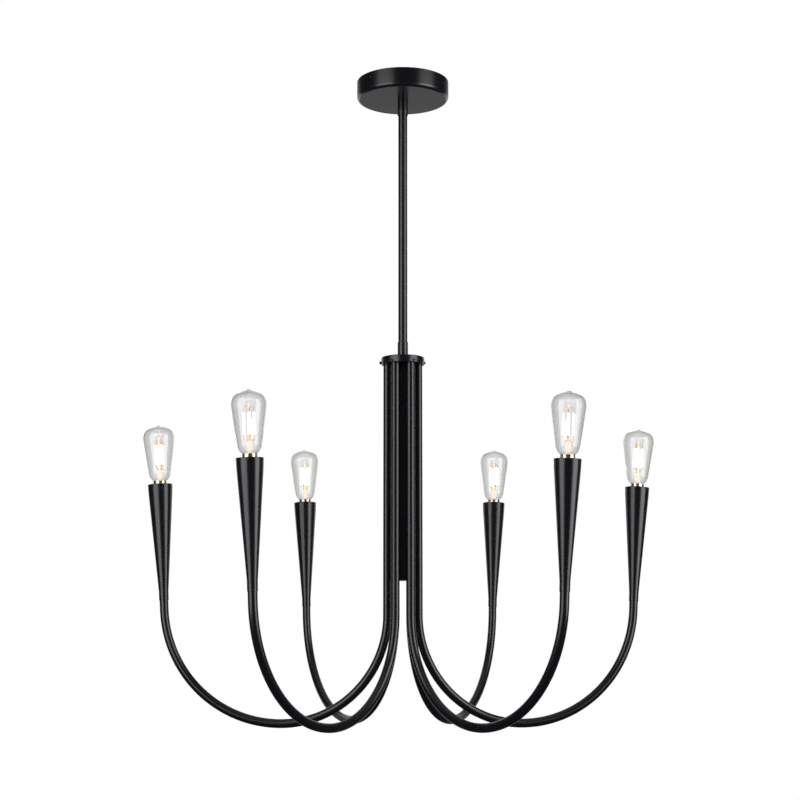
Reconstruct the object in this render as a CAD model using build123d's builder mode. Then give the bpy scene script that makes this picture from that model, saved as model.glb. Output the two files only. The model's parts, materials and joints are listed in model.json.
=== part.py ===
from build123d import *
from math import cos, radians, sin, sqrt
import os

os.makedirs("parts", exist_ok=True)

# Six-arm ceiling chandelier, in millimetres. +Z is up and the origin is the centre of
# the ceiling plane. A canopy and a plain rod carry a small hub disc. Six bent tubes hang
# in a ring under the hub, sweep down and out, rise again and end in long cone cups, each
# with an E14 lampholder and a clear filament bulb. Arm 1 is the one near +X.

# ---- driving dimensions ----

# ceiling plate, against the ceiling inside the canopy
plate_d = 116.0
plate_t = 2.0
plate_slot_spacing = 80.0
plate_slot_len = 20.0
plate_slot_w = 5.2
cable_hole_d = 24.0
cable_hole_y = -27.0
plate_tab_w = 14.0
plate_tab_drop = 17.0
terminal_w = 30.0
terminal_depth = 17.0
terminal_h = 12.0
terminal_y = 30.0
terminal_ways = 3
terminal_bore_d = 3.4
terminal_edge = 1.0
earth_screw_x = -28.0
earth_screw_y = -27.0
earth_screw_d = 4.0
earth_head_d = 8.0
earth_head_h = 2.8
earth_head_edge = 0.8

# canopy
canopy_d = 130.0
canopy_depth = 26.5
canopy_wall = 1.5
canopy_edge_r = 5.0
canopy_screw_d = 4.0
canopy_screw_head_d = 7.0
canopy_screw_head_h = 2.4
canopy_screw_taper = 14.0
canopy_screw_reach = 2.0
canopy_screw_z = -7.5
canopy_screw_angles = (-135.0, 45.0)

# hollow M10 threaded nipples and their nuts
nipple_d = 10.0
nipple_bore_d = 7.0
nut_across_flats = 14.0
nut_h = 5.0
nipple_end_proud = 1.5

# rod and its two couplings
rod_d = 12.7
rod_wall = 1.2
rod_len = 352.0
coupling_len = 22.0
coupling_seat = 12.0
top_coupling_d = 15.0
bottom_coupling_d = 14.5
coupling_edge = 0.6

# hub
arm_count = 6
hub_d = 60.0
hub_h = 10.0
hub_edge_r = 1.4
hub_recess_d = 53.0
hub_recess_h = 3.5
hub_lid_t = 1.2
hub_boss_len = 8.0
arm_ring_r = 21.0
socket_depth = 5.5
wire_hole_d = 8.0
wire_port_d = 5.0
wire_port_r = 9.2
wire_port_count = 3
wire_port_angle = 30.0

# set screws, one for each arm, in a groove round the tube's end
set_screw_d = 4.0
set_screw_point_d = 2.4
set_screw_point_len = 1.5
set_screw_hex = 2.0
set_screw_hex_depth = 1.3
set_screw_proud = (1.2, 1.2, 1.2, 2.4, 1.2, 1.2)
groove_w = 3.2
groove_depth = 0.6
groove_from_end = 2.7

# core, the wiring chamber in the middle of the tubes
core_d = 28.0
core_wall = 1.2
core_len = 295.0
core_cap_t = 3.0
core_cap_spigot = 8.0

# arms
arm_d = 12.0
arm_wall = 1.5
arm_drop = 350.0
inner_bend_r = 145.0
outer_bend_r = 163.0
arm_lean = 3.2
arm_end_straight = 22.0
arm_turns = (11.8, 5.1, -4.1, -5.4, -3.8, 6.0)

# cone cups
cup_h = 160.0
cup_rim_d = 34.0
cup_shoulder_d = 33.0
cup_shoulder_drop = 12.0
cup_foot_d = 13.2
cup_foot_h = 12.0
cup_wall = 1.0
cup_seat = 10.0
cup_web = 10.0
cup_rim_round = 0.4

# stem inside each cup, and the lampholder on it
stem_d = 10.0
stem_bore_d = 7.0
holder_drop = 6.0
holder_collar_d = 27.0
holder_collar_h = 16.0
holder_body_d = 22.0
holder_h = 50.0
holder_thread_len = 8.0
holder_cavity_d = 18.0
holder_shell_len = 22.0

# bulb base (E14)
base_thread_d = 13.9
base_thread_len = 15.5
base_skirt_d = 18.4
base_skirt_proud = 4.8
base_flare = 3.6
base_tip_d = 5.0
base_tip_len = 4.5
base_glass_seat = 4.4
base_skirt_wall = 0.5

# bulb glass (ST45), heights from the cup's rim, then steps out or in and up to the tip
glass_t = 0.7
glass_neck_angle = 29.0
glass_shoulder_d = 30.6
glass_shoulder_h = 15.5
glass_flank_d = 42.6
glass_flank_h = 59.0
belly_step_out = 0.3
belly_step_up = 8.5
brow_step_in = 2.9
brow_step_up = 7.5
brow_facing = 42.0
crown_step_in = 7.2
crown_step_up = 4.2
pip_step_in = 5.2
pip_step_up = 1.7
pip_facing = 80.0
tip_step_up = 2.3

# light source inside the bulb
stem_glass_d = 6.6
stem_flare_d = 15.0
stem_flare_h = 6.0
stem_glass_top = 22.0
filament_count = 4
filament_w = 1.8
filament_ring_r = 6.2
filament_bottom = 25.0
filament_top = 56.0
filament_angle = 45.0
support_wire_d = 1.0

# clearances
thread_gap = 0.03
tube_running_gap = 0.06
screw_gap = 0.25
lid_gap = 0.15
bulb_running_gap = 0.3
canopy_seat_gap = 0.1
hole_gap = 0.2
cut_over = 1.0

# ---- levels worked out from them ----

canopy_bottom = -canopy_depth
canopy_floor = canopy_bottom + canopy_wall
rod_top = canopy_bottom - coupling_len + coupling_seat
rod_bottom = rod_top - rod_len
hub_top = rod_bottom + coupling_seat - coupling_len
hub_bottom = hub_top - hub_h
core_bottom = hub_bottom - core_len
arm_top = hub_bottom + socket_depth
bend_start = arm_top - arm_drop
bend_bottom = bend_start - inner_bend_r
set_screw_z = arm_top - groove_from_end
groove_floor_r = arm_d / 2 - groove_depth


def ring_xy(number):
    """Centre of an arm's socket in the hub."""
    angle = radians(360.0 / arm_count * (number - 1))
    return arm_ring_r * cos(angle), arm_ring_r * sin(angle)


def arm_plane(number):
    """Upright plane of one arm: x outwards along the arm, y up, from the tube's axis."""
    x, y = ring_xy(number)
    turn = 360.0 / arm_count * (number - 1) + arm_turns[(number - 1) % len(arm_turns)]
    out = radians(turn)
    return Plane(
        origin=(x, y, 0),
        x_dir=(cos(out), sin(out), 0),
        z_dir=(sin(out), -cos(out), 0),
    )


def lamp_plane(number):
    """Plane through one lamp's leaning axis: x away from the axis, y along it from the seam."""
    lean = radians(arm_lean)
    along = arm_end_straight - cup_seat
    seam_x = inner_bend_r + outer_bend_r * cos(lean) + along * sin(lean)
    seam_y = bend_bottom + outer_bend_r * (1 - sin(lean)) + along * cos(lean)
    upright = arm_plane(number)
    return Plane(
        origin=upright.from_local_coords((seam_x, seam_y, 0)),
        x_dir=upright.x_dir * cos(lean) - upright.y_dir * sin(lean),
        z_dir=upright.z_dir,
    )


def lamp_axis(plane):
    """The lamp's own axis, about which its cup, holder and bulb are turned."""
    return Axis(plane.origin, plane.y_dir)


def save(piece, label):
    """Label a finished piece and write its file."""
    piece.part.label = label
    export_step(piece.part, f"parts/{label}.step")


# ---- ceiling plate: a pressed steel disc with two tabs turned down for the canopy screws ----

canopy_inner_r = canopy_d / 2 - canopy_wall
tab_face_r = sqrt((canopy_inner_r - canopy_seat_gap) ** 2 - (plate_tab_w / 2) ** 2)

with BuildPart() as ceiling_plate:
    with BuildSketch(Plane.XY.offset(-plate_t)):
        Circle(plate_d / 2)
        for angle in canopy_screw_angles:
            with Locations(Rotation(0, 0, angle) * Location((tab_face_r / 2, 0))):
                Rectangle(tab_face_r, plate_tab_w)
        with GridLocations(plate_slot_spacing, 0, 2, 1):
            SlotOverall(plate_slot_len, plate_slot_w, mode=Mode.SUBTRACT)
        with Locations((0, cable_hole_y)):
            Circle(cable_hole_d / 2, mode=Mode.SUBTRACT)
        with Locations((earth_screw_x, earth_screw_y)):
            Circle(earth_screw_d / 2 + thread_gap, mode=Mode.SUBTRACT)
    extrude(amount=plate_t)
    for angle in canopy_screw_angles:
        tab_plane = Plane.XY.rotated((0, 0, angle)).offset(-plate_tab_drop)
        with BuildSketch(tab_plane):
            with Locations((tab_face_r - plate_t / 2, 0)):
                Rectangle(plate_t, plate_tab_w)
        extrude(amount=plate_tab_drop)
        out = Vector(cos(radians(angle)), sin(radians(angle)), 0)
        hole_start = out * (tab_face_r - plate_t - cut_over) + Vector(0, 0, canopy_screw_z)
        with BuildSketch(Plane(origin=hole_start, z_dir=out)):
            Circle(canopy_screw_d / 2 + thread_gap)
        extrude(amount=plate_t + 2 * cut_over, mode=Mode.SUBTRACT)
save(ceiling_plate, "ceiling_plate")


# ---- terminal block, under the plate ----

with BuildPart() as terminal_block:
    with BuildSketch(Plane.XY.offset(-plate_t - terminal_h)):
        with Locations((0, terminal_y)):
            Rectangle(terminal_w, terminal_depth)
    extrude(amount=terminal_h)
    way_pitch = terminal_w / terminal_ways
    with BuildSketch(Plane.XZ.offset(-terminal_y - terminal_depth / 2)):
        with Locations((0, -plate_t - terminal_h / 2)):
            with GridLocations(way_pitch, 0, terminal_ways, 1):
                Circle(terminal_bore_d / 2)
    extrude(amount=terminal_depth, mode=Mode.SUBTRACT)
    chamfer(terminal_block.edges().filter_by(Axis.Z), terminal_edge)
save(terminal_block, "terminal_block")


# ---- earth screw, in the plate ----

with BuildPart() as earth_screw:
    with BuildSketch(Plane.XY.offset(-plate_t - earth_head_h)):
        with Locations((earth_screw_x, earth_screw_y)):
            Circle(earth_head_d / 2)
    extrude(amount=earth_head_h)
    fillet(earth_screw.edges().group_by(Axis.Z)[0], earth_head_edge)
    with BuildSketch(Plane.XY.offset(-plate_t)):
        with Locations((earth_screw_x, earth_screw_y)):
            Circle(earth_screw_d / 2)
    extrude(amount=plate_t)
save(earth_screw, "earth_screw")


# ---- canopy: a spun steel cup with a rounded lower edge ----

with BuildPart() as canopy:
    with BuildSketch(Plane.XY.offset(canopy_bottom)):
        Circle(canopy_d / 2)
    extrude(amount=canopy_depth)
    fillet(canopy.edges().group_by(Axis.Z)[0], canopy_edge_r)
    offset(amount=-canopy_wall, openings=canopy.faces().sort_by(Axis.Z)[-1])
    with BuildSketch(Plane.XY.offset(canopy_bottom)):
        Circle(nipple_d / 2 + hole_gap)
    extrude(amount=canopy_wall, mode=Mode.SUBTRACT)
    for angle in canopy_screw_angles:
        out = Vector(cos(radians(angle)), sin(radians(angle)), 0)
        hole_start = out * (canopy_inner_r - cut_over) + Vector(0, 0, canopy_screw_z)
        with BuildSketch(Plane(origin=hole_start, z_dir=out)):
            Circle(canopy_screw_d / 2 + hole_gap)
        extrude(amount=canopy_wall + 2 * cut_over, mode=Mode.SUBTRACT)
save(canopy, "canopy")


# ---- canopy screws: two pan heads through the canopy's wall into the plate's tabs ----

head_seat_r = canopy_d / 2
shank_end_r = tab_face_r - plate_t - canopy_screw_reach
with BuildPart() as canopy_screws:
    for angle in canopy_screw_angles:
        out = Vector(cos(radians(angle)), sin(radians(angle)), 0)
        level = Vector(0, 0, canopy_screw_z)
        with BuildSketch(Plane(origin=out * shank_end_r + level, z_dir=out)):
            Circle(canopy_screw_d / 2)
        extrude(amount=head_seat_r - shank_end_r)
        with BuildSketch(Plane(origin=out * head_seat_r + level, z_dir=out)):
            Circle(canopy_screw_head_d / 2)
        extrude(amount=canopy_screw_head_h, taper=canopy_screw_taper)
save(canopy_screws, "canopy_screws")


# ---- nipples and nuts, on the rod's axis ----


def hollow_rod(bottom, top, outer_d, bore_d):
    """A straight hollow round bar on the rod's axis."""
    with BuildPart() as bar:
        with BuildSketch(Plane.XY.offset(bottom)):
            Circle(outer_d / 2)
            Circle(bore_d / 2, mode=Mode.SUBTRACT)
        extrude(amount=top - bottom)
    return bar


def hex_nut(bottom):
    """A hexagon nut on the rod's axis."""
    with BuildPart() as nut:
        with BuildSketch(Plane.XY.offset(bottom)):
            RegularPolygon(nut_across_flats / 2, 6, major_radius=False)
            Circle(nipple_d / 2 + thread_gap, mode=Mode.SUBTRACT)
        extrude(amount=nut_h)
    return nut


canopy_nipple = hollow_rod(
    rod_top + nipple_end_proud,
    canopy_floor + nut_h + nipple_end_proud,
    nipple_d,
    nipple_bore_d,
)
save(canopy_nipple, "canopy_nipple")

canopy_nut = hex_nut(canopy_floor)
save(canopy_nut, "canopy_nut")

hub_nipple = hollow_rod(
    hub_bottom - hub_boss_len - nut_h - nipple_end_proud,
    rod_bottom - nipple_end_proud,
    nipple_d,
    nipple_bore_d,
)
save(hub_nipple, "hub_nipple")

hub_nut = hex_nut(hub_bottom - hub_boss_len - nut_h)
save(hub_nut, "hub_nut")


# ---- rod, and the turned couplings that join it to the nipples ----


def coupling(bottom, outer_d, rod_side):
    """A turned sleeve, threaded for a nipple at one end and bored for the rod at the other."""
    seat_bottom = bottom if rod_side == "below" else bottom + coupling_len - coupling_seat
    with BuildPart() as sleeve:
        with BuildSketch(Plane.XY.offset(bottom)):
            Circle(outer_d / 2)
            Circle(nipple_d / 2 + thread_gap, mode=Mode.SUBTRACT)
        extrude(amount=coupling_len)
        with BuildSketch(Plane.XY.offset(seat_bottom)):
            Circle(rod_d / 2 + thread_gap)
        extrude(amount=coupling_seat, mode=Mode.SUBTRACT)
        rims = sleeve.edges().filter_by(GeomType.CIRCLE)
        outer = rims.filter_by(lambda e: abs(e.radius - outer_d / 2) < coupling_edge)
        open_rims = outer.sort_by(Axis.Z)
        chamfer(open_rims[0] if rod_side == "below" else open_rims[-1], coupling_edge)
    return sleeve


top_coupling = coupling(canopy_bottom - coupling_len, top_coupling_d, "below")
save(top_coupling, "top_coupling")

downrod = hollow_rod(rod_bottom, rod_top, rod_d, rod_d - 2 * rod_wall)
save(downrod, "downrod")

bottom_coupling = coupling(hub_top, bottom_coupling_d, "above")
save(bottom_coupling, "bottom_coupling")


# ---- hub: a turned disc with a ring of sockets below and a wiring recess on top ----

core_inner_r = core_d / 2 - core_wall
recess_floor = hub_top - hub_recess_h

with BuildPart() as hub:
    with BuildSketch(Plane.XY.offset(hub_bottom)):
        Circle(hub_d / 2)
    extrude(amount=hub_h)
    fillet(hub.edges().group_by(Axis.Z)[-1], hub_edge_r)
    chamfer(hub.edges().group_by(Axis.Z)[0], coupling_edge)
    with BuildSketch(Plane.XY.offset(hub_bottom - hub_boss_len)):
        Circle(core_inner_r - thread_gap)
    extrude(amount=hub_boss_len)
    with BuildSketch(Plane.XY.offset(recess_floor)):
        Circle(hub_recess_d / 2)
    extrude(amount=hub_recess_h, mode=Mode.SUBTRACT)
    with BuildSketch(Plane.XY.offset(hub_bottom)):
        with PolarLocations(arm_ring_r, arm_count):
            Circle(arm_d / 2 + tube_running_gap)
    extrude(amount=socket_depth, mode=Mode.SUBTRACT)
    with BuildSketch(Plane.XY.offset(hub_bottom)):
        with PolarLocations(arm_ring_r, arm_count):
            Circle(wire_hole_d / 2)
    extrude(amount=hub_h, mode=Mode.SUBTRACT)
    with BuildSketch(Plane.XY.offset(hub_bottom - hub_boss_len)):
        Circle(nipple_d / 2 + thread_gap)
        with PolarLocations(wire_port_r, wire_port_count, start_angle=wire_port_angle):
            Circle(wire_port_d / 2)
    extrude(amount=hub_boss_len + hub_h, mode=Mode.SUBTRACT)
    for number in range(1, arm_count + 1):
        x, y = ring_xy(number)
        out = Vector(x, y, 0).normalized()
        with BuildSketch(Plane(origin=(x, y, set_screw_z), z_dir=out)):
            Circle(set_screw_d / 2 + thread_gap)
        extrude(amount=hub_d / 2, mode=Mode.SUBTRACT)
save(hub, "hub")


# ---- hub lid: a thin disc let into the recess ----

with BuildPart() as hub_lid:
    with BuildSketch(Plane.XY.offset(hub_top - hub_lid_t)):
        Circle(hub_recess_d / 2 - lid_gap)
        Circle(nipple_d / 2 + hole_gap, mode=Mode.SUBTRACT)
    extrude(amount=hub_lid_t)
save(hub_lid, "hub_lid")


# ---- set screws: dog points that run in the grooves of the six tubes ----

with BuildPart() as hub_set_screws:
    for number in range(1, arm_count + 1):
        x, y = ring_xy(number)
        out = Vector(x, y, 0).normalized()
        level = Vector(0, 0, set_screw_z)
        proud = set_screw_proud[(number - 1) % len(set_screw_proud)]
        point_start = arm_ring_r + groove_floor_r + screw_gap
        body_start = point_start + set_screw_point_len
        body_end = hub_d / 2 + proud
        with BuildSketch(Plane(origin=out * point_start + level, z_dir=out)):
            Circle(set_screw_point_d / 2)
        extrude(amount=set_screw_point_len)
        with BuildSketch(Plane(origin=out * body_start + level, z_dir=out)):
            Circle(set_screw_d / 2)
        extrude(amount=body_end - body_start)
        with BuildSketch(Plane(origin=out * body_end + level, z_dir=-out)):
            RegularPolygon(set_screw_hex / 2, 6, major_radius=False)
        extrude(amount=set_screw_hex_depth, mode=Mode.SUBTRACT)
save(hub_set_screws, "hub_set_screws")


# ---- core: a plain tube screwed onto the hub's boss, closed by a turned cap ----

core_tube = hollow_rod(core_bottom, hub_bottom, core_d, core_d - 2 * core_wall)
save(core_tube, "core_tube")

with BuildPart() as core_cap:
    with BuildSketch(Plane.XY.offset(core_bottom - core_cap_t)):
        Circle(core_d / 2)
    extrude(amount=core_cap_t)
    chamfer(core_cap.edges().group_by(Axis.Z)[0], coupling_edge)
    with BuildSketch(Plane.XY.offset(core_bottom)):
        Circle(core_inner_r - thread_gap)
        Circle(core_inner_r - 2 * core_wall, mode=Mode.SUBTRACT)
    extrude(amount=core_cap_spigot)
save(core_cap, "core_cap")


# ---- arm tubes: straight down from the hub, two bends, then a short leaning end ----


def arm_tube(number):
    """One bent tube with the set screw's groove turned near its upper end."""
    upright = arm_plane(number)
    with BuildPart() as tube:
        with BuildLine(upright) as route:
            drop = Line((0, arm_top), (0, bend_start))
            inner = JernArc(drop @ 1, (0, -1), inner_bend_r, 90)
            outer = JernArc(inner @ 1, (1, 0), outer_bend_r, 90 - arm_lean)
            PolarLine(outer @ 1, arm_end_straight, 90 - arm_lean)
        with BuildSketch(Plane(origin=route.line @ 0, z_dir=(0, 0, -1))):
            Circle(arm_d / 2)
            Circle(arm_d / 2 - arm_wall, mode=Mode.SUBTRACT)
        sweep(path=route.line)
        with BuildSketch(upright):
            with Locations((groove_floor_r + groove_depth, set_screw_z)):
                Rectangle(2 * groove_depth, groove_w)
        revolve(axis=Axis(upright.origin, (0, 0, 1)), mode=Mode.SUBTRACT)
    return tube


# ---- cups: spun cones on a turned foot that takes the tube below and the stem above ----

cone_top = cup_h - cup_shoulder_drop
web_top = cup_seat + cup_web


def cup(number):
    """One cone cup, open at the top."""
    plane = lamp_plane(number)
    rim_r = cup_rim_d / 2
    shoulder_r = cup_shoulder_d / 2
    foot_r = cup_foot_d / 2
    slope = (shoulder_r - foot_r) / (cone_top - cup_foot_h)
    web_r = foot_r + (web_top - cup_foot_h) * slope - cup_wall
    tube_bore_r = arm_d / 2 + thread_gap
    stem_bore_r = stem_d / 2 + thread_gap
    with BuildPart() as cone:
        with BuildSketch(plane):
            with BuildLine():
                Polyline(
                    (tube_bore_r, 0),
                    (foot_r, 0),
                    (foot_r, cup_foot_h),
                    (shoulder_r, cone_top),
                    (rim_r, cup_h),
                    (rim_r - cup_wall, cup_h),
                    (shoulder_r - cup_wall, cone_top),
                    (web_r, web_top),
                    (stem_bore_r, web_top),
                    (stem_bore_r, cup_seat),
                    (tube_bore_r, cup_seat),
                    close=True,
                )
            make_face()
        revolve(axis=lamp_axis(plane))
        fillet(rim_edges(cone, plane), cup_rim_round)
    return cone


def rim_edges(cone, plane):
    """The two edges of the cup's rim."""
    return cone.edges().filter_by(GeomType.CIRCLE).sort_by(lamp_axis(plane))[-2:]


# ---- stems: threaded pipe from each cup's foot up to its lampholder ----

holder_top = cup_h - holder_drop
holder_bottom = holder_top - holder_h
stem_top = holder_bottom + holder_thread_len


def socket_stem(number):
    """One stem, screwed into the cup's foot and into the lampholder."""
    plane = lamp_plane(number)
    with BuildPart() as stem:
        with BuildSketch(Plane(plane.origin + plane.y_dir * cup_seat, z_dir=plane.y_dir)):
            Circle(stem_d / 2)
            Circle(stem_bore_d / 2, mode=Mode.SUBTRACT)
        extrude(amount=stem_top - cup_seat)
    return stem


# ---- lampholders: moulded E14 holders ----

holder_shell_r = base_thread_d / 2 + bulb_running_gap
holder_shell_bottom = holder_top - holder_shell_len


def lampholder(number):
    """One lampholder, with a collar at the top and a threaded foot on the stem."""
    plane = lamp_plane(number)
    body_r = holder_body_d / 2
    collar_r = holder_collar_d / 2
    collar_bottom = holder_top - holder_collar_h
    step = collar_r - body_r
    with BuildPart() as holder:
        with BuildSketch(plane):
            with BuildLine():
                Polyline(
                    (stem_d / 2 + thread_gap, holder_bottom),
                    (body_r, holder_bottom),
                    (body_r, collar_bottom - step),
                    (collar_r, collar_bottom),
                    (collar_r, holder_top),
                    (holder_shell_r, holder_top),
                    (holder_shell_r, holder_shell_bottom),
                    (holder_cavity_d / 2, holder_shell_bottom),
                    (holder_cavity_d / 2, stem_top),
                    (stem_d / 2 + thread_gap, stem_top),
                    close=True,
                )
            make_face()
        revolve(axis=lamp_axis(plane))
    return holder


# ---- bulb bases: E14 caps with a flared skirt that grips the glass ----

skirt_top = cup_h + base_skirt_proud
glass_seat = skirt_top - base_glass_seat
thread_top = holder_top - bulb_running_gap
thread_bottom = thread_top - base_thread_len
skirt_bottom = thread_top + base_flare


def bulb_base(number):
    """One cap: contact, thread, flare and skirt in one turned shape."""
    plane = lamp_plane(number)
    thread_r = base_thread_d / 2
    tip_r = base_tip_d / 2
    skirt_r = base_skirt_d / 2
    with BuildPart() as cap:
        with BuildSketch(plane):
            with BuildLine():
                Polyline(
                    (0, thread_bottom - base_tip_len),
                    (tip_r, thread_bottom - base_tip_len),
                    (tip_r, thread_bottom - base_tip_len / 2),
                    (thread_r, thread_bottom),
                    (thread_r, thread_top),
                    (skirt_r, skirt_bottom),
                    (skirt_r, skirt_top),
                    (skirt_r - base_skirt_wall, skirt_top),
                    (skirt_r - base_skirt_wall, glass_seat),
                    (0, glass_seat),
                    close=True,
                )
            make_face()
        revolve(axis=lamp_axis(plane))
    return cap


# ---- bulb glass: a clear pear with a drawn pip, one thin wall all round ----


def glass_outline(inset):
    """Half section of the bulb, moved in by so much, from its neck up to the pip's tip."""

    def moved(point, facing=0):
        """A point of the outside moved in, where the glass faces so many degrees upwards."""
        in_x = inset * cos(radians(facing))
        in_y = inset * sin(radians(facing))
        return point[0] - in_x, point[1] - in_y

    neck = (base_skirt_d / 2 - base_skirt_wall - thread_gap, skirt_top)
    neck_way = (cos(radians(glass_neck_angle)), sin(radians(glass_neck_angle)))
    shoulder = (glass_shoulder_d / 2, cup_h + glass_shoulder_h)
    flank_top = (glass_flank_d / 2, cup_h + glass_flank_h)
    belly = (flank_top[0] + belly_step_out, flank_top[1] + belly_step_up)
    brow = (belly[0] - brow_step_in, belly[1] + brow_step_up)
    crown = (brow[0] - crown_step_in, brow[1] + crown_step_up)
    pip = (crown[0] - pip_step_in, crown[1] + pip_step_up)
    pip_way = (-sin(radians(pip_facing)), cos(radians(pip_facing)))
    tip = (0, pip[1] + tip_step_up - inset)
    with BuildSketch() as section:
        with BuildLine():
            Line((0, glass_seat), (moved(neck)[0], glass_seat))
            Line((moved(neck)[0], glass_seat), moved(neck))
            flank = Line(moved(shoulder), moved(flank_top))
            Spline(moved(neck), moved(shoulder), tangents=(neck_way, flank % 0))
            Spline(
                moved(flank_top),
                moved(belly),
                moved(brow, brow_facing),
                moved(crown, pip_facing),
                moved(pip, pip_facing),
                tangents=(flank % 1, pip_way),
            )
            Spline(moved(pip, pip_facing), tip, tangents=(pip_way, (-1, 0)))
            Line(tip, (0, glass_seat))
        make_face()
    return section.sketch


def bulb_glass(number):
    """One blown glass bulb, open at the neck."""
    plane = lamp_plane(number)
    with BuildPart() as glass:
        add(plane * glass_outline(0))
        revolve(axis=lamp_axis(plane))
        with BuildSketch(plane, mode=Mode.PRIVATE) as hollow:
            add(glass_outline(glass_t))
        revolve(hollow.sketch, axis=lamp_axis(plane), mode=Mode.SUBTRACT)
    return glass


# ---- light source: glass stem, support wires and upright LED filaments, as one piece ----


def bulb_filament(number):
    """The stem and the filaments inside one bulb."""
    plane = lamp_plane(number)
    up = plane.y_dir
    axis_x = plane.x_dir

    def level(height):
        return Plane(plane.origin + up * height, x_dir=axis_x, z_dir=up)

    low = cup_h + filament_bottom
    high = cup_h + filament_top
    with BuildPart() as source:
        with BuildSketch(plane):
            with BuildLine():
                Polyline(
                    (0, glass_seat),
                    (stem_flare_d / 2, glass_seat),
                    (stem_glass_d / 2, glass_seat + stem_flare_h),
                    (stem_glass_d / 2, cup_h + stem_glass_top),
                    (0, cup_h + stem_glass_top),
                    close=True,
                )
            make_face()
        revolve(axis=lamp_axis(plane))
        with BuildSketch(level(cup_h + stem_glass_top)):
            Circle(support_wire_d / 2)
        extrude(amount=high - cup_h - stem_glass_top)
        for height in (low, high - support_wire_d):
            with BuildSketch(level(height)):
                for turn in (filament_angle, filament_angle + 90):
                    Rectangle(2 * filament_ring_r, support_wire_d, rotation=turn)
            extrude(amount=support_wire_d)
        with BuildSketch(level(low)):
            with PolarLocations(filament_ring_r, filament_count, start_angle=filament_angle):
                Rectangle(filament_w, filament_w)
        extrude(amount=high - low)
    return source


for number in range(1, arm_count + 1):
    save(arm_tube(number), f"arm_tube_{number}")
    save(cup(number), f"cup_{number}")
    save(socket_stem(number), f"socket_stem_{number}")
    save(lampholder(number), f"lampholder_{number}")
    save(bulb_base(number), f"bulb_base_{number}")
    save(bulb_glass(number), f"bulb_glass_{number}")
    save(bulb_filament(number), f"bulb_filament_{number}")
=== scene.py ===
import json
import math

import bmesh
import bpy
from mathutils import Matrix, Vector
from mathutils.geometry import interpolate_bezier


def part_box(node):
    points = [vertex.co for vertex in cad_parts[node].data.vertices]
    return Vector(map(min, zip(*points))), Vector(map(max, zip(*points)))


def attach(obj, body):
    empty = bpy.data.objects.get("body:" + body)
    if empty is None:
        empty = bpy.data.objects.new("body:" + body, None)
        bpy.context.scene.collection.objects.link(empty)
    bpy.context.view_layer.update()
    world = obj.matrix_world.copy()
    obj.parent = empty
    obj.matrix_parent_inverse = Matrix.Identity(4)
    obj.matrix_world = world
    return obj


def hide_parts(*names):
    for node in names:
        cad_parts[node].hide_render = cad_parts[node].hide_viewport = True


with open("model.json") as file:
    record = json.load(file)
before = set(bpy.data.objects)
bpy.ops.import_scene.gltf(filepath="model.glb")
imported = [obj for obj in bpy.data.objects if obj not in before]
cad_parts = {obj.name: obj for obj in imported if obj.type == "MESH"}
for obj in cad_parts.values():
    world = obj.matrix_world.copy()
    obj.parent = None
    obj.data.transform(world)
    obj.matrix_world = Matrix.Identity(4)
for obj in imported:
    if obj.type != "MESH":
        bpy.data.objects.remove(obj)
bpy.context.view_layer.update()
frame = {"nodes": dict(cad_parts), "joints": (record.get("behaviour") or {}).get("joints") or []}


# ---- viewpoint ----
# A standing eye, two and a quarter metres from the rod, looks a little upwards, so that the
# underside of the canopy shows and the six lamps spread out around the rod.

mm = 0.001
eye = Vector((-20.6, -2274.2, -812.2)) * mm
eye_tilt = 8.86
eye_turn = -0.42

scene = bpy.context.scene
scene.view_settings.view_transform = "Standard"
camera_data = bpy.data.cameras.new("camera")
camera_data.lens = 74.86
camera_data.sensor_width = 36.0
camera_data.clip_end = 60.0
camera = bpy.data.objects.new("camera", camera_data)
camera.matrix_world = (
    Matrix.Translation(eye)
    @ Matrix.Rotation(math.radians(eye_turn), 4, "Z")
    @ Matrix.Rotation(math.radians(90.0 + eye_tilt), 4, "X")
)
scene.collection.objects.link(camera)
scene.camera = camera


# ---- ceiling plate, terminal block and earth screw ----
# A pressed steel disc is screwed to the ceiling through its two slots. It is zinc plated,
# which leaves a pale clouded grey, and carries a moulded terminal block and an earth screw.


def linear(hex_code):
    """The linear colour of an sRGB hex value."""
    parts = [int(hex_code[i : i + 2], 16) / 255 for i in (1, 3, 5)]
    bent = [c / 12.92 if c <= 0.04045 else ((c + 0.055) / 1.055) ** 2.4 for c in parts]
    return (*bent, 1.0)


def add_node(tree, kind, inputs=None, **settings):
    """Add a shader node, and fill its sockets by value or by link."""
    made = tree.nodes.new("ShaderNode" + kind)
    for name, value in settings.items():
        setattr(made, name, value)
    for socket, value in (inputs or {}).items():
        if isinstance(value, bpy.types.NodeSocket):
            tree.links.new(value, made.inputs[socket])
        else:
            made.inputs[socket].default_value = value
    return made


def new_material(name):
    """An empty node material, its tree, and the Object coordinates its patterns follow."""
    material = bpy.data.materials.new(name)
    material.use_nodes = True
    tree = material.node_tree
    tree.nodes.clear()
    return material, tree, add_node(tree, "TexCoord").outputs["Object"]


def per_mm(size):
    """The scale of a texture whose pattern repeats about every so many millimetres."""
    return 1 / (size * mm)


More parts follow.
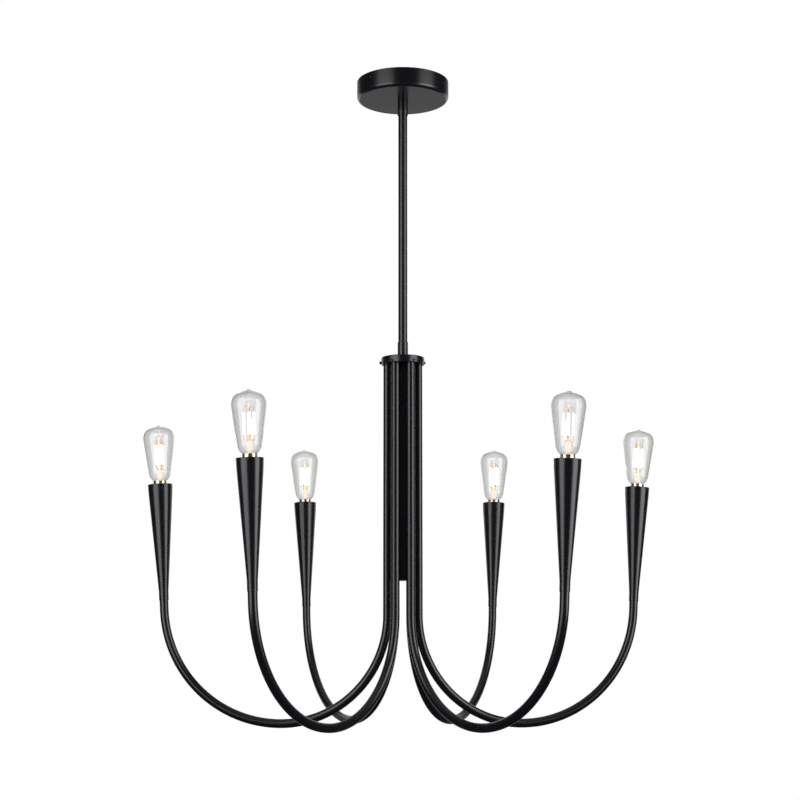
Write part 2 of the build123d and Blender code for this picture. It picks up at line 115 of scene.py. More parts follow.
def zinc_plate():
    """Zinc-plated steel: a bright, slightly blue metal, clouded where the bath dried.

    The clouds are 14 mm across. The crystals are finer than the drawn 0.8 mm.
    """
    material, tree, place = new_material("zinc_plated_steel")
    cloud = add_node(tree, "TexNoise", {"Vector": place, "Scale": per_mm(14), "Detail": 3.0})
    grain = add_node(tree, "TexNoise", {"Vector": place, "Scale": per_mm(0.8), "Detail": 2.0})
    tint = add_node(
        tree,
        "MixRGB",
        {"Fac": cloud.outputs["Fac"], "Color1": linear("#A9AFB6"), "Color2": linear("#CFCDC2")},
    )
    gloss = add_node(
        tree, "MapRange", {"Value": cloud.outputs["Fac"], "To Min": 0.42, "To Max": 0.6}
    )
    relief = add_node(
        tree,
        "Bump",
        {"Height": grain.outputs["Fac"], "Strength": 0.25, "Distance": 0.03 * mm},
    )
    surface = add_node(
        tree,
        "BsdfPrincipled",
        {
            "Base Color": tint.outputs["Color"],
            "Metallic": 1.0,
            "Roughness": gloss.outputs["Result"],
            "Normal": relief.outputs["Normal"],
        },
    )
    add_node(tree, "OutputMaterial", {"Surface": surface.outputs["BSDF"]})
    return material


def moulded_plastic(name, dark, light, roughness, grain_size):
    """A moulded plastic whose colour and relief carry the fine grain of its mould."""
    material, tree, place = new_material(name)
    grain = add_node(
        tree, "TexNoise", {"Vector": place, "Scale": per_mm(grain_size), "Detail": 3.0}
    )
    tint = add_node(
        tree,
        "MixRGB",
        {"Fac": grain.outputs["Fac"], "Color1": linear(dark), "Color2": linear(light)},
    )
    relief = add_node(
        tree,
        "Bump",
        {"Height": grain.outputs["Fac"], "Strength": 0.3, "Distance": 0.02 * mm},
    )
    surface = add_node(
        tree,
        "BsdfPrincipled",
        {
            "Base Color": tint.outputs["Color"],
            "Roughness": roughness,
            "IOR": 1.53,
            "Normal": relief.outputs["Normal"],
        },
    )
    add_node(tree, "OutputMaterial", {"Surface": surface.outputs["BSDF"]})
    return material


def finish_node(node, material):
    """Give a carried-over node its finish."""
    materials = frame["nodes"][node].data.materials
    materials.clear()
    materials.append(material)


zinc = zinc_plate()
finish_node("ceiling_plate", zinc)
finish_node("earth_screw", zinc)
polyamide = moulded_plastic("white_moulded_polyamide", "#E2DFD5", "#EEECE4", 0.48, 0.7)
finish_node("terminal_block", polyamide)


# ---- canopy ----
# A cup spun from steel sheet, its lower edge rolled to a soft radius. It is sprayed with a
# satin black polyester powder and baked, like all the visible metal of the lamp.

canopy_low, canopy_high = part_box("canopy")
canopy_r = canopy_high.x / mm
canopy_bottom = canopy_low.z / mm
canopy_wall = 1.5
canopy_edge_r = 5.0
nipple_hole_r = 5.2
sheet_edge = 0.3
fine_steps = 128
merge_gap = 0.0005 * mm
crease = math.radians(32)


def powder_coat():
    """Baked powder: near black and satin, with an orange peel and a fine grit in its gloss.

    The ripples of the peel are 1.6 mm across. The grit is finer than the drawn 0.3 mm.
    """
    material, tree, place = new_material("satin_black_powder_coat")
    peel = add_node(tree, "TexNoise", {"Vector": place, "Scale": per_mm(1.6), "Detail": 1.0})
    grit = add_node(tree, "TexNoise", {"Vector": place, "Scale": per_mm(0.3), "Detail": 2.0})
    drift = add_node(tree, "TexNoise", {"Vector": place, "Scale": per_mm(45), "Detail": 2.0})
    tint = add_node(
        tree,
        "MixRGB",
        {"Fac": grit.outputs["Fac"], "Color1": linear("#05060A"), "Color2": linear("#0B0C12")},
    )
    gloss = add_node(
        tree, "MapRange", {"Value": drift.outputs["Fac"], "To Min": 0.19, "To Max": 0.26}
    )
    speckle = add_node(
        tree,
        "Math",
        {0: grit.outputs["Fac"], 1: 0.06, 2: gloss.outputs["Result"]},
        operation="MULTIPLY_ADD",
    )
    relief = add_node(
        tree,
        "Bump",
        {"Height": peel.outputs["Fac"], "Strength": 0.35, "Distance": 0.02 * mm},
    )
    surface = add_node(
        tree,
        "BsdfPrincipled",
        {
            "Base Color": tint.outputs["Color"],
            "Roughness": speckle.outputs["Value"],
            "IOR": 1.5,
            "Normal": relief.outputs["Normal"],
        },
    )
    add_node(tree, "OutputMaterial", {"Surface": surface.outputs["BSDF"]})
    return material


def turned(section, steps=fine_steps, closed=True):
    """A turned body about the Z axis, from its half section of (radius, height) in mm."""
    bm = bmesh.new()
    points = [bm.verts.new((radius * mm, 0, height * mm)) for radius, height in section]
    pairs = list(zip(points, points[1:]))
    if closed:
        pairs.append((points[-1], points[0]))
    edges = [bm.edges.new(pair) for pair in pairs]
    bmesh.ops.spin(
        bm,
        geom=points + edges,
        cent=(0, 0, 0),
        axis=(0, 0, 1),
        angle=math.tau,
        steps=steps,
        use_merge=True,
    )
    bmesh.ops.remove_doubles(bm, verts=bm.verts, dist=merge_gap)
    bmesh.ops.recalc_face_normals(bm, faces=bm.faces)
    return bm


def is_sharp(edge):
    """True for an edge whose two faces meet at more than the crease angle."""
    return edge.is_manifold and edge.calc_face_angle() > crease


def at_ring(radius, height):
    """A test for the edges of the circle with that radius and height, in mm."""
    near = 0.02

    def on_circle(vert):
        off_radius = abs(math.hypot(vert.co.x, vert.co.y) / mm - radius)
        return off_radius < near and abs(vert.co.z / mm - height) < near

    return lambda edge: all(on_circle(vert) for vert in edge.verts)


def rolled(bm, chosen, width, segments=3):
    """Round the edges of a mesh for which chosen(edge) is true."""
    bmesh.ops.bevel(
        bm,
        geom=[edge for edge in bm.edges if chosen(edge)],
        offset=width * mm,
        offset_type="OFFSET",
        segments=segments,
        profile=0.5,
        affect="EDGES",
        material=-1,
        clamp_overlap=True,
    )


def make_piece(bm, name, material, slot, body, *nodes, place=None):
    """Make a finished mesh a piece that rides on a body and stands for some nodes."""
    if place is not None:
        bmesh.ops.transform(bm, matrix=place, verts=bm.verts)
    for face in bm.faces:
        face.smooth = True
    for edge in bm.edges:
        edge.smooth = not is_sharp(edge)
    mesh = bpy.data.meshes.new(name)
    bm.to_mesh(mesh)
    bm.free()
    mesh.materials.append(material)
    piece = bpy.data.objects.new(name, mesh)
    scene.collection.objects.link(piece)
    weights = piece.modifiers.new("flat_faces_stay_flat", "WEIGHTED_NORMAL")
    weights.keep_sharp = True
    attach(piece, body)
    if nodes:
        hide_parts(*nodes)
    return piece


black_coat = powder_coat()
canopy_cup = turned(
    [
        (nipple_hole_r, canopy_bottom),
        (canopy_r, canopy_bottom),
        (canopy_r, 0),
        (canopy_r - canopy_wall, 0),
        (canopy_r - canopy_wall, canopy_bottom + canopy_wall),
        (nipple_hole_r, canopy_bottom + canopy_wall),
    ]
)
outer_corner = at_ring(canopy_r, canopy_bottom)
inner_corner = at_ring(canopy_r - canopy_wall, canopy_bottom + canopy_wall)
rolled(canopy_cup, outer_corner, canopy_edge_r, segments=10)
rolled(canopy_cup, inner_corner, canopy_edge_r - canopy_wall, segments=8)
rolled(canopy_cup, is_sharp, sheet_edge)
make_piece(canopy_cup, "canopy_cup", black_coat, "black_powder_coat", "root", "canopy")


# ---- canopy screws ----
# Two pan-head machine screws hold the cup to the tabs of the ceiling plate. They are
# blackened steel, with a domed crown and a pressed cross recess.

screw_angles = (-135.0, 45.0)
screw_z = -7.5
screw_head_r = 3.5
screw_head_h = 2.4
screw_shank_r = 2.0
screw_shank_len = 6.0
cross_w = 0.9
cross_len = 4.2
cross_depth = 1.2
small_steps = 48
# The crown from its middle to its rim, in shares of the head's radius and height.
screw_crown = ((0, 1.0), (0.5, 0.97), (0.8, 0.82), (0.97, 0.45), (1.0, 0))


def black_oxide():
    """Blackened steel: a dark metal with an oily sheen, rubbed brighter in small patches."""
    material, tree, place = new_material("black_oxide_steel")
    rub = add_node(tree, "TexNoise", {"Vector": place, "Scale": per_mm(1.2), "Detail": 3.0})
    tint = add_node(
        tree,
        "MixRGB",
        {"Fac": rub.outputs["Fac"], "Color1": linear("#19191C"), "Color2": linear("#38383B")},
    )
    gloss = add_node(
        tree, "MapRange", {"Value": rub.outputs["Fac"], "To Min": 0.42, "To Max": 0.28}
    )
    surface = add_node(
        tree,
        "BsdfPrincipled",
        {
            "Base Color": tint.outputs["Color"],
            "Metallic": 1.0,
            "Roughness": gloss.outputs["Result"],
        },
    )
    add_node(tree, "OutputMaterial", {"Surface": surface.outputs["BSDF"]})
    return material


def bar(length, width, low, high):
    """An upright box centred on the Z axis, between two heights, in mm."""
    bm = bmesh.new()
    size = Matrix.Diagonal((length * mm, width * mm, (high - low) * mm, 1))
    centre = Matrix.Translation((0, 0, (low + high) / 2 * mm))
    bmesh.ops.create_cube(bm, size=1.0, matrix=centre @ size)
    return bm


def cut_away(bm, *tools):
    """Cut the tools out of a mesh, one after the other."""
    for tool in tools:
        parts = []
        for shape in (bm, tool):
            mesh = bpy.data.meshes.new("shape")
            shape.to_mesh(mesh)
            shape.free()
            parts.append(bpy.data.objects.new("shape", mesh))
            scene.collection.objects.link(parts[-1])
        cut = parts[0].modifiers.new("cut", "BOOLEAN")
        cut.operation = "DIFFERENCE"
        cut.object = parts[1]
        bm = bmesh.new()
        bm.from_object(parts[0], bpy.context.evaluated_depsgraph_get())
        for part in parts:
            bpy.data.objects.remove(part)
    return bm


def pan_head_screw():
    """One screw along Z, with the seat of its head at height 0."""
    crown = [(screw_head_r * out, screw_head_h * up) for out, up in screw_crown]
    shank = [(screw_shank_r, 0), (screw_shank_r, -screw_shank_len), (0, -screw_shank_len)]
    screw = turned(crown + shank, steps=small_steps, closed=False)
    floor, clear = screw_head_h - cross_depth, screw_head_h + cross_depth
    return cut_away(
        screw,
        bar(cross_len, cross_w, floor, clear),
        bar(cross_w, cross_len, floor, clear),
    )


black_steel = black_oxide()
screws = bmesh.new()
for angle in screw_angles:
    outwards = Matrix.Rotation(math.radians(angle), 4, "Z")
    seat = Matrix.Translation((canopy_r * mm, 0, screw_z * mm))
    lying = Matrix.Rotation(math.pi / 2, 4, "Y")
    screw = pan_head_screw()
    bmesh.ops.transform(screw, matrix=outwards @ seat @ lying, verts=screw.verts)
    mesh = bpy.data.meshes.new("screw")
    screw.to_mesh(mesh)
    screw.free()
    screws.from_mesh(mesh)
    bpy.data.meshes.remove(mesh)
make_piece(
    screws, "canopy_pan_screws", black_steel, "black_screw_steel", "root", "canopy_screws"
)


# ---- rod and couplings ----
# A plain steel tube hangs from a turned sleeve under the canopy, and ends in a like sleeve
# on the hub. Hollow threaded nipples with hexagon nuts, inside, hold the sleeves on.

rod_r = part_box("downrod")[1].x / mm
tube_wall = 1.2
nipple_bore_r = 5.03
running_gap = 0.03
turned_edge = 0.5
coupling_seat = 12.0


def straight_tube(node):
    """A plain tube that fills a node's box."""
    low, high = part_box(node)
    radius, bottom, top = high.x / mm, low.z / mm, high.z / mm
    bore_r = radius - tube_wall
    return turned([(bore_r, bottom), (radius, bottom), (radius, top), (bore_r, top)])


def sleeve(node, rod_below):
    """A coupling sleeve: a narrow bore for the nipple, a wide one for the rod."""
    low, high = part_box(node)
    radius, bottom, top = high.x / mm, low.z / mm, high.z / mm
    narrow, wide = nipple_bore_r, rod_r + running_gap
    if rod_below:
        step = bottom + coupling_seat
        section = [(wide, bottom), (radius, bottom), (radius, top), (narrow, top)]
        section += [(narrow, step), (wide, step)]
    else:
        step = top - coupling_seat
        section = [(narrow, bottom), (radius, bottom), (radius, top), (wide, top)]
        section += [(wide, step), (narrow, step)]
    bm = turned(section)
    rolled(bm, at_ring(radius, bottom if rod_below else top), turned_edge)
    return bm


for shape, piece, node in (
    (straight_tube("downrod"), "hanging_rod", "downrod"),
    (sleeve("top_coupling", rod_below=True), "upper_sleeve", "top_coupling"),
    (sleeve("bottom_coupling", rod_below=False), "lower_sleeve", "bottom_coupling"),
):
    make_piece(shape, piece, black_coat, "black_powder_coat", "root", node)
for inner_node in ("canopy_nipple", "canopy_nut", "hub_nipple", "hub_nut"):
    finish_node(inner_node, zinc)


# ---- hub, lid and set screws ----
# A turned disc with six sockets below for the arm tubes and a shallow wiring recess on top,
# closed by a thin lid. A socket set screw from the side holds each tube in its socket.


def smoothed(node):
    """A copy of a node's mesh with its loose triangles joined up."""
    bm = bmesh.new()
    bm.from_mesh(frame["nodes"][node].data)
    bmesh.ops.remove_doubles(bm, verts=bm.verts, dist=merge_gap)
    return bm


for node, piece, material, slot in (
    ("hub", "hub_disc", black_coat, "black_powder_coat"),
    ("hub_lid", "hub_disc_lid", black_coat, "black_powder_coat"),
    ("hub_set_screws", "socket_set_screws", black_steel, "black_screw_steel"),
):
    make_piece(smoothed(node), piece, material, slot, "root", node)


# ---- core tube and cap ----
# A plain steel tube in the middle of the six arms hides the joined wires. A turned cap
# closes it below. Its spigot is pressed into the tube, and its lower edge is rounded.

core_low, core_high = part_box("core_tube")
cap_low, cap_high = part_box("core_cap")
core_r = core_high.x / mm
core_bottom = core_low.z / mm
cap_bottom = cap_low.z / mm
spigot_top = cap_high.z / mm
spigot_r = core_r - tube_wall - running_gap

make_piece(
    straight_tube("core_tube"),
    "core_sleeve",
    black_coat,
    "black_powder_coat",
    "root",
    "core_tube",
)

core_end = turned(
    [
        (0, cap_bottom),
        (core_r, cap_bottom),
        (core_r, core_bottom),
        (spigot_r, core_bottom),
        (spigot_r, spigot_top),
        (spigot_r - tube_wall, spigot_top),
        (spigot_r - tube_wall, core_bottom),
        (0, core_bottom),
    ],
    closed=False,
)
rolled(core_end, at_ring(core_r, cap_bottom), turned_edge)
make_piece(core_end, "core_end_cap", black_coat, "black_powder_coat", "root", "core_cap")


# ---- arm tubes ----
# Six 12 mm steel tubes drop beside the core, swing down and out in one bend and up again
# in a second, wider one, and end in a short straight that leans outwards a little.

arm_r = 6.0
arm_wall = 1.5
arm_drop = 350.0
inner_bend_r = 145.0
outer_bend_r = 163.0
arm_end_straight = 22.0
tube_sides = 56
steps_per_bend = 48
joints = {joint["name"]: joint for joint in frame["joints"]}
arm_numbers = range(1, 7)


def lamp_axis(number):
    """The direction of one lamp's leaning axis."""
    return Vector(joints[f"bulb_{number}_out"]["axis"])


arm_lean = math.asin(lamp_axis(1).to_2d().length)


def arm_place(number):
    """The move that takes an arm from under the origin, its bends along +X, to its socket."""
    socket = Vector(joints[f"arm_{number}_turn"]["pos_m"])
    outwards = lamp_axis(number)
    turn = math.atan2(outwards.y, outwards.x)
    return Matrix.Translation(socket) @ Matrix.Rotation(turn, 4, "Z")


def pulled(bm, rim, way):
    """Draw a rim of edges out along a vector in mm, and give back the new rim."""
    made = bmesh.ops.extrude_edge_only(bm, edges=rim)["geom"]
    bmesh.ops.translate(
        bm, verts=[g for g in made if isinstance(g, bmesh.types.BMVert)], vec=Vector(way) * mm
    )
    return [g for g in made if isinstance(g, bmesh.types.BMEdge)]


def bent(bm, rim, centre_x, centre_z, angle):
    """Carry a rim round a bend in the XZ plane, and give back the new rim."""
    made = bmesh.ops.spin(
        bm,
        geom=rim + list(dict.fromkeys(vert for edge in rim for vert in edge.verts)),
        cent=(centre_x * mm, 0, centre_z * mm),
        axis=(0, -1, 0),
        angle=angle,
        steps=steps_per_bend,
    )["geom_last"]
    return [g for g in made if isinstance(g, bmesh.types.BMEdge)]


def arm_tube():
    """One bent tube, from the end in its socket at height 0."""
    bm = bmesh.new()
    bmesh.ops.create_circle(bm, segments=tube_sides, radius=arm_r * mm)
    rim = pulled(bm, bm.edges[:], (0, 0, -arm_drop))
    rim = bent(bm, rim, inner_bend_r, -arm_drop, math.pi / 2)
    outer_centre_z = -arm_drop - inner_bend_r + outer_bend_r
    rim = bent(bm, rim, inner_bend_r, outer_centre_z, math.pi / 2 - arm_lean)
    lean_way = Vector((math.sin(arm_lean), 0, math.cos(arm_lean)))
    pulled(bm, rim, lean_way * arm_end_straight)
    bmesh.ops.recalc_face_normals(bm, faces=bm.faces)
    bmesh.ops.solidify(bm, geom=bm.faces[:], thickness=arm_wall * mm)
    return bm


for number in arm_numbers:
    make_piece(
        arm_tube(),
        f"bent_tube_{number}",
        black_coat,
        "black_powder_coat",
        f"arm_{number}",
        f"arm_tube_{number}",
        place=arm_place(number),
    )


# ---- cone cups ----
# Slim cones spun from sheet on a turned foot. The foot slips over the end of the tube with
# a fine seam, and the rim at the top flares a little less than the cone.

cup_h = 160.0
cup_rim_r = 17.0
cup_shoulder_r = 16.5
cup_shoulder_drop = 12.0
cup_foot_r = 6.6
cup_foot_h = 12.0
cup_wall = 1.0
cup_seat = 10.0
cup_web = 10.0
cup_rim_edge = 0.4
foot_edge = 0.3
stem_r = 5.0


def lamp_place(number):
    """The move that takes what stands on the seam of tube and cup to its leaning place."""
    along = arm_end_straight - cup_seat
    sine, cosine = math.sin(arm_lean), math.cos(arm_lean)
    seam_x = inner_bend_r + outer_bend_r * cosine + along * sine
    seam_z = outer_bend_r * (1 - sine) + along * cosine - arm_drop - inner_bend_r
    seam = Matrix.Translation(Vector((seam_x, 0, seam_z)) * mm)
    return arm_place(number) @ seam @ Matrix.Rotation(arm_lean, 4, "Y")


def cone_cup():
    """One cup, upright, with its seam at height 0."""
    cone_top = cup_h - cup_shoulder_drop
    web_top = cup_seat + cup_web
    slope = (cup_shoulder_r - cup_foot_r) / (cone_top - cup_foot_h)
    web_r = cup_foot_r + (web_top - cup_foot_h) * slope - cup_wall
    bm = turned(
        [
            (arm_r + running_gap, 0),
            (cup_foot_r, 0),
            (cup_foot_r, cup_foot_h),
            (cup_shoulder_r, cone_top),
            (cup_rim_r, cup_h),
            (cup_rim_r - cup_wall, cup_h),
            (cup_shoulder_r - cup_wall, cone_top),
            (web_r, web_top),
            (stem_r + running_gap, web_top),
            (stem_r + running_gap, cup_seat),
            (arm_r + running_gap, cup_seat),
        ]
    )
    rolled(bm, at_ring(cup_rim_r, cup_h), cup_rim_edge)
    rolled(bm, at_ring(cup_rim_r - cup_wall, cup_h), cup_rim_edge)
    rolled(bm, at_ring(cup_foot_r, 0), foot_edge)
    return bm


for number in arm_numbers:
    make_piece(
        cone_cup(),
        f"cone_cup_{number}",
        black_coat,
        "black_powder_coat",
        f"arm_{number}",
        f"cup_{number}",
        place=lamp_place(number),
    )


# ---- stems and lampholders ----
# A threaded steel pipe stands in the foot of each cup and carries a small-screw lampholder
# of black phenolic, moulded in one piece with a wider collar at its mouth.

holder_drop = 6.0
holder_h = 50.0
holder_collar_r = 13.5
holder_collar_h = 16.0
holder_body_r = 11.0
holder_cavity_r = 9.0
holder_shell_r = 7.25
holder_shell_len = 22.0
holder_boss_len = 8.0
holder_edge = 0.5
holder_steps = 64
holder_top = cup_h - holder_drop


def lampholder():
    """One holder, upright on the same seam as its cup."""
    bottom = holder_top - holder_h
    boss_top = bottom + holder_boss_len
    collar_bottom = holder_top - holder_collar_h
    shell_bottom = holder_top - holder_shell_len
    bm = turned(
        [
            (stem_r + running_gap, bottom),
            (holder_body_r, bottom),
            (holder_body_r, collar_bottom - (holder_collar_r - holder_body_r)),
            (holder_collar_r, collar_bottom),
            (holder_collar_r, holder_top),
            (holder_shell_r, holder_top),
            (holder_shell_r, shell_bottom),
            (holder_cavity_r, shell_bottom),
            (holder_cavity_r, boss_top),
            (stem_r + running_gap, boss_top),
        ],
        steps=holder_steps,
    )
    rolled(bm, at_ring(holder_collar_r, holder_top), holder_edge)
    rolled(bm, at_ring(holder_shell_r, holder_top), holder_edge)
    return bm


phenolic = moulded_plastic("black_moulded_phenolic", "#0C0B0B", "#181615", 0.38, 0.9)
for number in arm_numbers:
    finish_node(f"socket_stem_{number}", zinc)
    make_piece(
        lampholder(),
        f"phenolic_holder_{number}",
        phenolic,
        "black_phenolic",
        f"arm_{number}",
        f"lampholder_{number}",
        place=lamp_place(number),
    )


# ---- bulb caps ----
# Small-screw caps pressed from thin brass and nickel plated: a rolled thread, a flare and
# a skirt that grips the glass. Black glass insulates the soldered contact at the end.

cap_thread_r = 6.95
cap_thread_depth = 0.75
cap_thread_len = 15.5
cap_thread_wall = 1.0
cap_pitch = 2.82
cap_skirt_r = 9.2
cap_skirt_proud = 4.8
cap_skirt_wall = 0.5
cap_flare = 3.6
cap_flare_edge = 0.8
cap_lip_edge = 0.2
cap_insulator_r = 3.0
cap_contact_r = 2.5
cap_contact_len = 4.5
cap_gap = 0.3
glass_seat_drop = 4.4
skirt_top = cup_h + cap_skirt_proud
glass_seat = skirt_top - glass_seat_drop
thread_top = holder_top - cap_gap
thread_bottom = thread_top - cap_thread_len
contact_top = thread_bottom - cap_contact_len / 2
# One turn of the thread, in shares of its depth inwards and of its pitch upwards.
thread_wave = ((0.3, 0.28), (0, 0.5), (0.3, 0.72), (1, 1))
# The solder dome from its rim, in shares of the contact's radius and length downwards.
solder_dome = ((1, 0), (0.96, 0.25), (0.7, 0.42), (0, 0.5))


def nickel_plate():
    """Nickel plate on pressed brass: a warm mirror, stained, and rippled by its tool.

    The stains are 5 mm across. The ripples are finer than the drawn 0.5 mm.
    """
    material, tree, place = new_material("nickel_plated_brass")
    stain = add_node(tree, "TexNoise", {"Vector": place, "Scale": per_mm(5), "Detail": 3.0})
    ripple = add_node(
        tree, "TexNoise", {"Vector": place, "Scale": per_mm(0.5), "Detail": 2.0}
    )
    tint = add_node(
        tree,
        "MixRGB",
        {"Fac": stain.outputs["Fac"], "Color1": linear("#B3A58F"), "Color2": linear("#CCC2B2")},
    )
    gloss = add_node(
        tree, "MapRange", {"Value": stain.outputs["Fac"], "To Min": 0.20, "To Max": 0.32}
    )
    relief = add_node(
        tree,
        "Bump",
        {"Height": ripple.outputs["Fac"], "Strength": 0.2, "Distance": 0.01 * mm},
    )
    surface = add_node(
        tree,
        "BsdfPrincipled",
        {
            "Base Color": tint.outputs["Color"],
            "Metallic": 1.0,
            "Roughness": gloss.outputs["Result"],
            "Normal": relief.outputs["Normal"],
        },
    )
    add_node(tree, "OutputMaterial", {"Surface": surface.outputs["BSDF"]})
    return material


def cap_shell():
    """The pressed metal: thread, flare and skirt, upright over the cup's seam."""
    root_r = cap_thread_r - cap_thread_depth
    inside_r = root_r - cap_thread_wall
    turns = round(cap_thread_len / cap_pitch)
    pitch = cap_thread_len / turns
    section = [(inside_r, thread_bottom), (root_r, thread_bottom)]
    for turn in range(turns):
        start = thread_bottom + turn * pitch
        section += [
            (cap_thread_r - cap_thread_depth * inwards, start + pitch * upwards)
            for inwards, upwards in thread_wave
        ]
    section += [
        (cap_skirt_r, thread_top + cap_flare),
        (cap_skirt_r, skirt_top),
        (cap_skirt_r - cap_skirt_wall, skirt_top),
        (cap_skirt_r - cap_skirt_wall, glass_seat),
        (inside_r, glass_seat),
    ]
    bm = turned(section, steps=holder_steps)
    rolled(bm, at_ring(cap_skirt_r, thread_top + cap_flare), cap_flare_edge, segments=4)
    rolled(bm, at_ring(cap_skirt_r, skirt_top), cap_lip_edge)
    return bm


def cap_insulator():
    """The black glass cone between thread and contact."""
    return turned(
        [
            (0, thread_bottom),
            (cap_thread_r - cap_thread_depth, thread_bottom),
            (cap_insulator_r, contact_top),
            (0, contact_top),
        ],
        steps=small_steps,
        closed=False,
    )


def cap_contact():
    """The soldered contact: a shallow tinned dome."""
    dome = [
        (cap_contact_r * out, contact_top - cap_contact_len * down)
        for out, down in solder_dome
    ]
    return turned([(0, contact_top)] + dome, steps=small_steps, closed=False)


nickel = nickel_plate()
black_glass = moulded_plastic("black_cap_glass", "#0A0A0B", "#121213", 0.12, 1.5)
for number in arm_numbers:
    for make, part, material, slot in (
        (cap_shell, "cap_shell", nickel, "nickel_plated_brass"),
        (cap_insulator, "cap_insulator", black_glass, "black_phenolic"),
        (cap_contact, "cap_contact", zinc, "nickel_plated_brass"),
    ):
        make_piece(
            make(),
            f"{part}_{number}",
            material,
            slot,
            f"bulb_{number}",
            f"bulb_base_{number}",
            place=lamp_place(number),
        )


# ---- bulb glass ----
# Clear soda glass blown to a slim pear: a short shoulder, straight flanks, a full belly and
# a flat dome with the low pip that is left where the bulb was drawn off and sealed.

glass_wall = 0.7
glass_neck_r = cap_skirt_r - cap_skirt_wall - running_gap
neck_way = Vector((1, 0.55)).normalized()
shoulder = Vector((15.3, cup_h + 15.5))
flank_top = Vector((21.3, cup_h + 59.0))
belly = Vector((21.6, cup_h + 67.5))
brow = Vector((18.7, cup_h + 75.0))
crown = Vector((11.5, cup_h + 79.2))
pip = Vector((6.3, cup_h + 80.9))
pip_way = Vector((-1, 0.18)).normalized()
tip = Vector((0.0, cup_h + 83.2))
points_per_span = 9
glass_steps = 96


def clear_glass():
    """Clear soda glass, white looked at squarely, with painted grey shade where the sight meets
    it slantwise.

    Blowing leaves faint waves, 14 mm across.
    """
    material, tree, place = new_material("clear_blown_glass")
    wave = add_node(tree, "TexNoise", {"Vector": place, "Scale": per_mm(14), "Detail": 1.0})
    relief = add_node(
        tree,
        "Bump",
        {"Height": wave.outputs["Fac"], "Strength": 0.3, "Distance": 0.08 * mm},
    )
    # Painted shade: the colour greys towards the glass's edges as seen, for the dimmer look of
    # glass seen edge-on.
    slant = add_node(tree, "LayerWeight", {"Blend": 0.5})
    painted_edge_shade = add_node(
        tree,
        "MapRange",
        {"Value": slant.outputs["Facing"], "From Min": 0.15, "From Max": 0.27},
        interpolation_type="SMOOTHSTEP",
    )
    tint = add_node(
        tree,
        "MixRGB",
        {
            "Fac": painted_edge_shade.outputs["Result"],
            "Color1": linear("#F5F6F7"),
            "Color2": linear("#E2E1DE"),
        },
    )
    surface = add_node(
        tree,
        "BsdfPrincipled",
        {
            "Base Color": tint.outputs["Color"],
            "Roughness": 0.0,
            "IOR": 1.5,
            "Transmission Weight": 1.0,
            "Normal": relief.outputs["Normal"],
        },
    )
    add_node(tree, "OutputMaterial", {"Surface": surface.outputs["BSDF"]})
    return material


def span(start, start_way, end, end_way):
    """Points of a smooth curve between two points, from their directions."""
    reach = (end - start).length / 3
    return interpolate_bezier(
        start, start + start_way * reach, end - end_way * reach, end, points_per_span
    )


def pear_outline():
    """The outside of the bulb from its neck up to its tip."""
    neck = Vector((glass_neck_r, skirt_top))
    flank_way = (flank_top - shoulder).normalized()
    points = [Vector((glass_neck_r, glass_seat))]
    points += span(neck, neck_way, shoulder, flank_way)
    top = (flank_top, belly, brow, crown, pip)
    course = [(flank_top, flank_way)]
    for before, here, after in zip(top, top[1:], top[2:]):
        course.append((here, (after - before).normalized()))
    course += [(pip, pip_way), (tip, Vector((-1, 0)))]
    for (start, start_way), (end, end_way) in zip(course, course[1:]):
        points += span(start, start_way, end, end_way)[1 if points[-1] == start else 0 :]
    return points


def pear_glass():
    """One thin-walled bulb, open at the neck."""
    bm = turned(pear_outline(), steps=glass_steps, closed=False)
    bmesh.ops.solidify(bm, geom=bm.faces[:], thickness=glass_wall * mm)
    return bm


glass = clear_glass()
for number in arm_numbers:
    make_piece(
        pear_glass(),
        f"pear_glass_{number}",
        glass,
        "clear_glass",
        f"bulb_{number}",
        f"bulb_glass_{number}",
        place=lamp_place(number),
    )


# ---- light source ----
# A pinched glass mount rises from the cap and ends in a thin rod with a bead. Bent wires
# from the mount's top and from the bead hold four upright LED filaments by welded tabs. A
# filament is a strip of chips under a warm phosphor.

mount_flare_r = 7.5
mount_waist_r = 3.6
mount_waist_h = 4.2
mount_flare_h = 6.0
mount_r = 3.0
mount_top = cup_h + 21.0
pinch_r = 3.8
pinch_start_drop = 8.0
pinch_full_drop = 6.0
pinch_end_drop = 3.6
mount_shoulder_r = 2.4
mount_shoulder_drop = 0.9
mount_rod_r = 0.8
bead_r = 1.5
bead_low = cup_h + 61.0
bead_top = cup_h + 66.0
bead_crown_r = 0.9
bead_crown_drop = 0.3
filament_r = 1.1
filament_end_round = 0.66
filament_ring_r = 6.2
filament_low = cup_h + 25.0
filament_high = cup_h + 58.5
filament_turns = (45, 135, 225, 315)
lead_wire_r = 0.45
lead_rise = 4.4
elbow_rise = 2.8
elbow_ring_r = 5.8
tab_len = 3.4
tab_w = 2.2
tab_t = 0.6
bar_sides = 16


def milky_mount_glass_painted_glow():
    """The mount: lead glass, a little milky where fused round the wires, with a faint painted
    glow.
    """
    material, tree, place = new_material("milky_mount_glass_painted_glow")
    cloud = add_node(tree, "TexNoise", {"Vector": place, "Scale": per_mm(1.6), "Detail": 2.0})
    tint = add_node(
        tree,
        "MixRGB",
        {"Fac": cloud.outputs["Fac"], "Color1": linear("#FFE9D6"), "Color2": linear("#FFFDFA")},
    )
    surface = add_node(
        tree,
        "BsdfPrincipled",
        {
            "Base Color": tint.outputs["Color"],
            "Roughness": 0.15,
            "IOR": 1.55,
            "Transmission Weight": 0.35,
            # Painted light: a faint glow stands in for the light that reaches the mount through
            # the bulb.
            "Emission Color": linear("#FFE6D2"),
            "Emission Strength": 0.42,
        },
    )
    add_node(tree, "OutputMaterial", {"Surface": surface.outputs["BSDF"]})
    return material


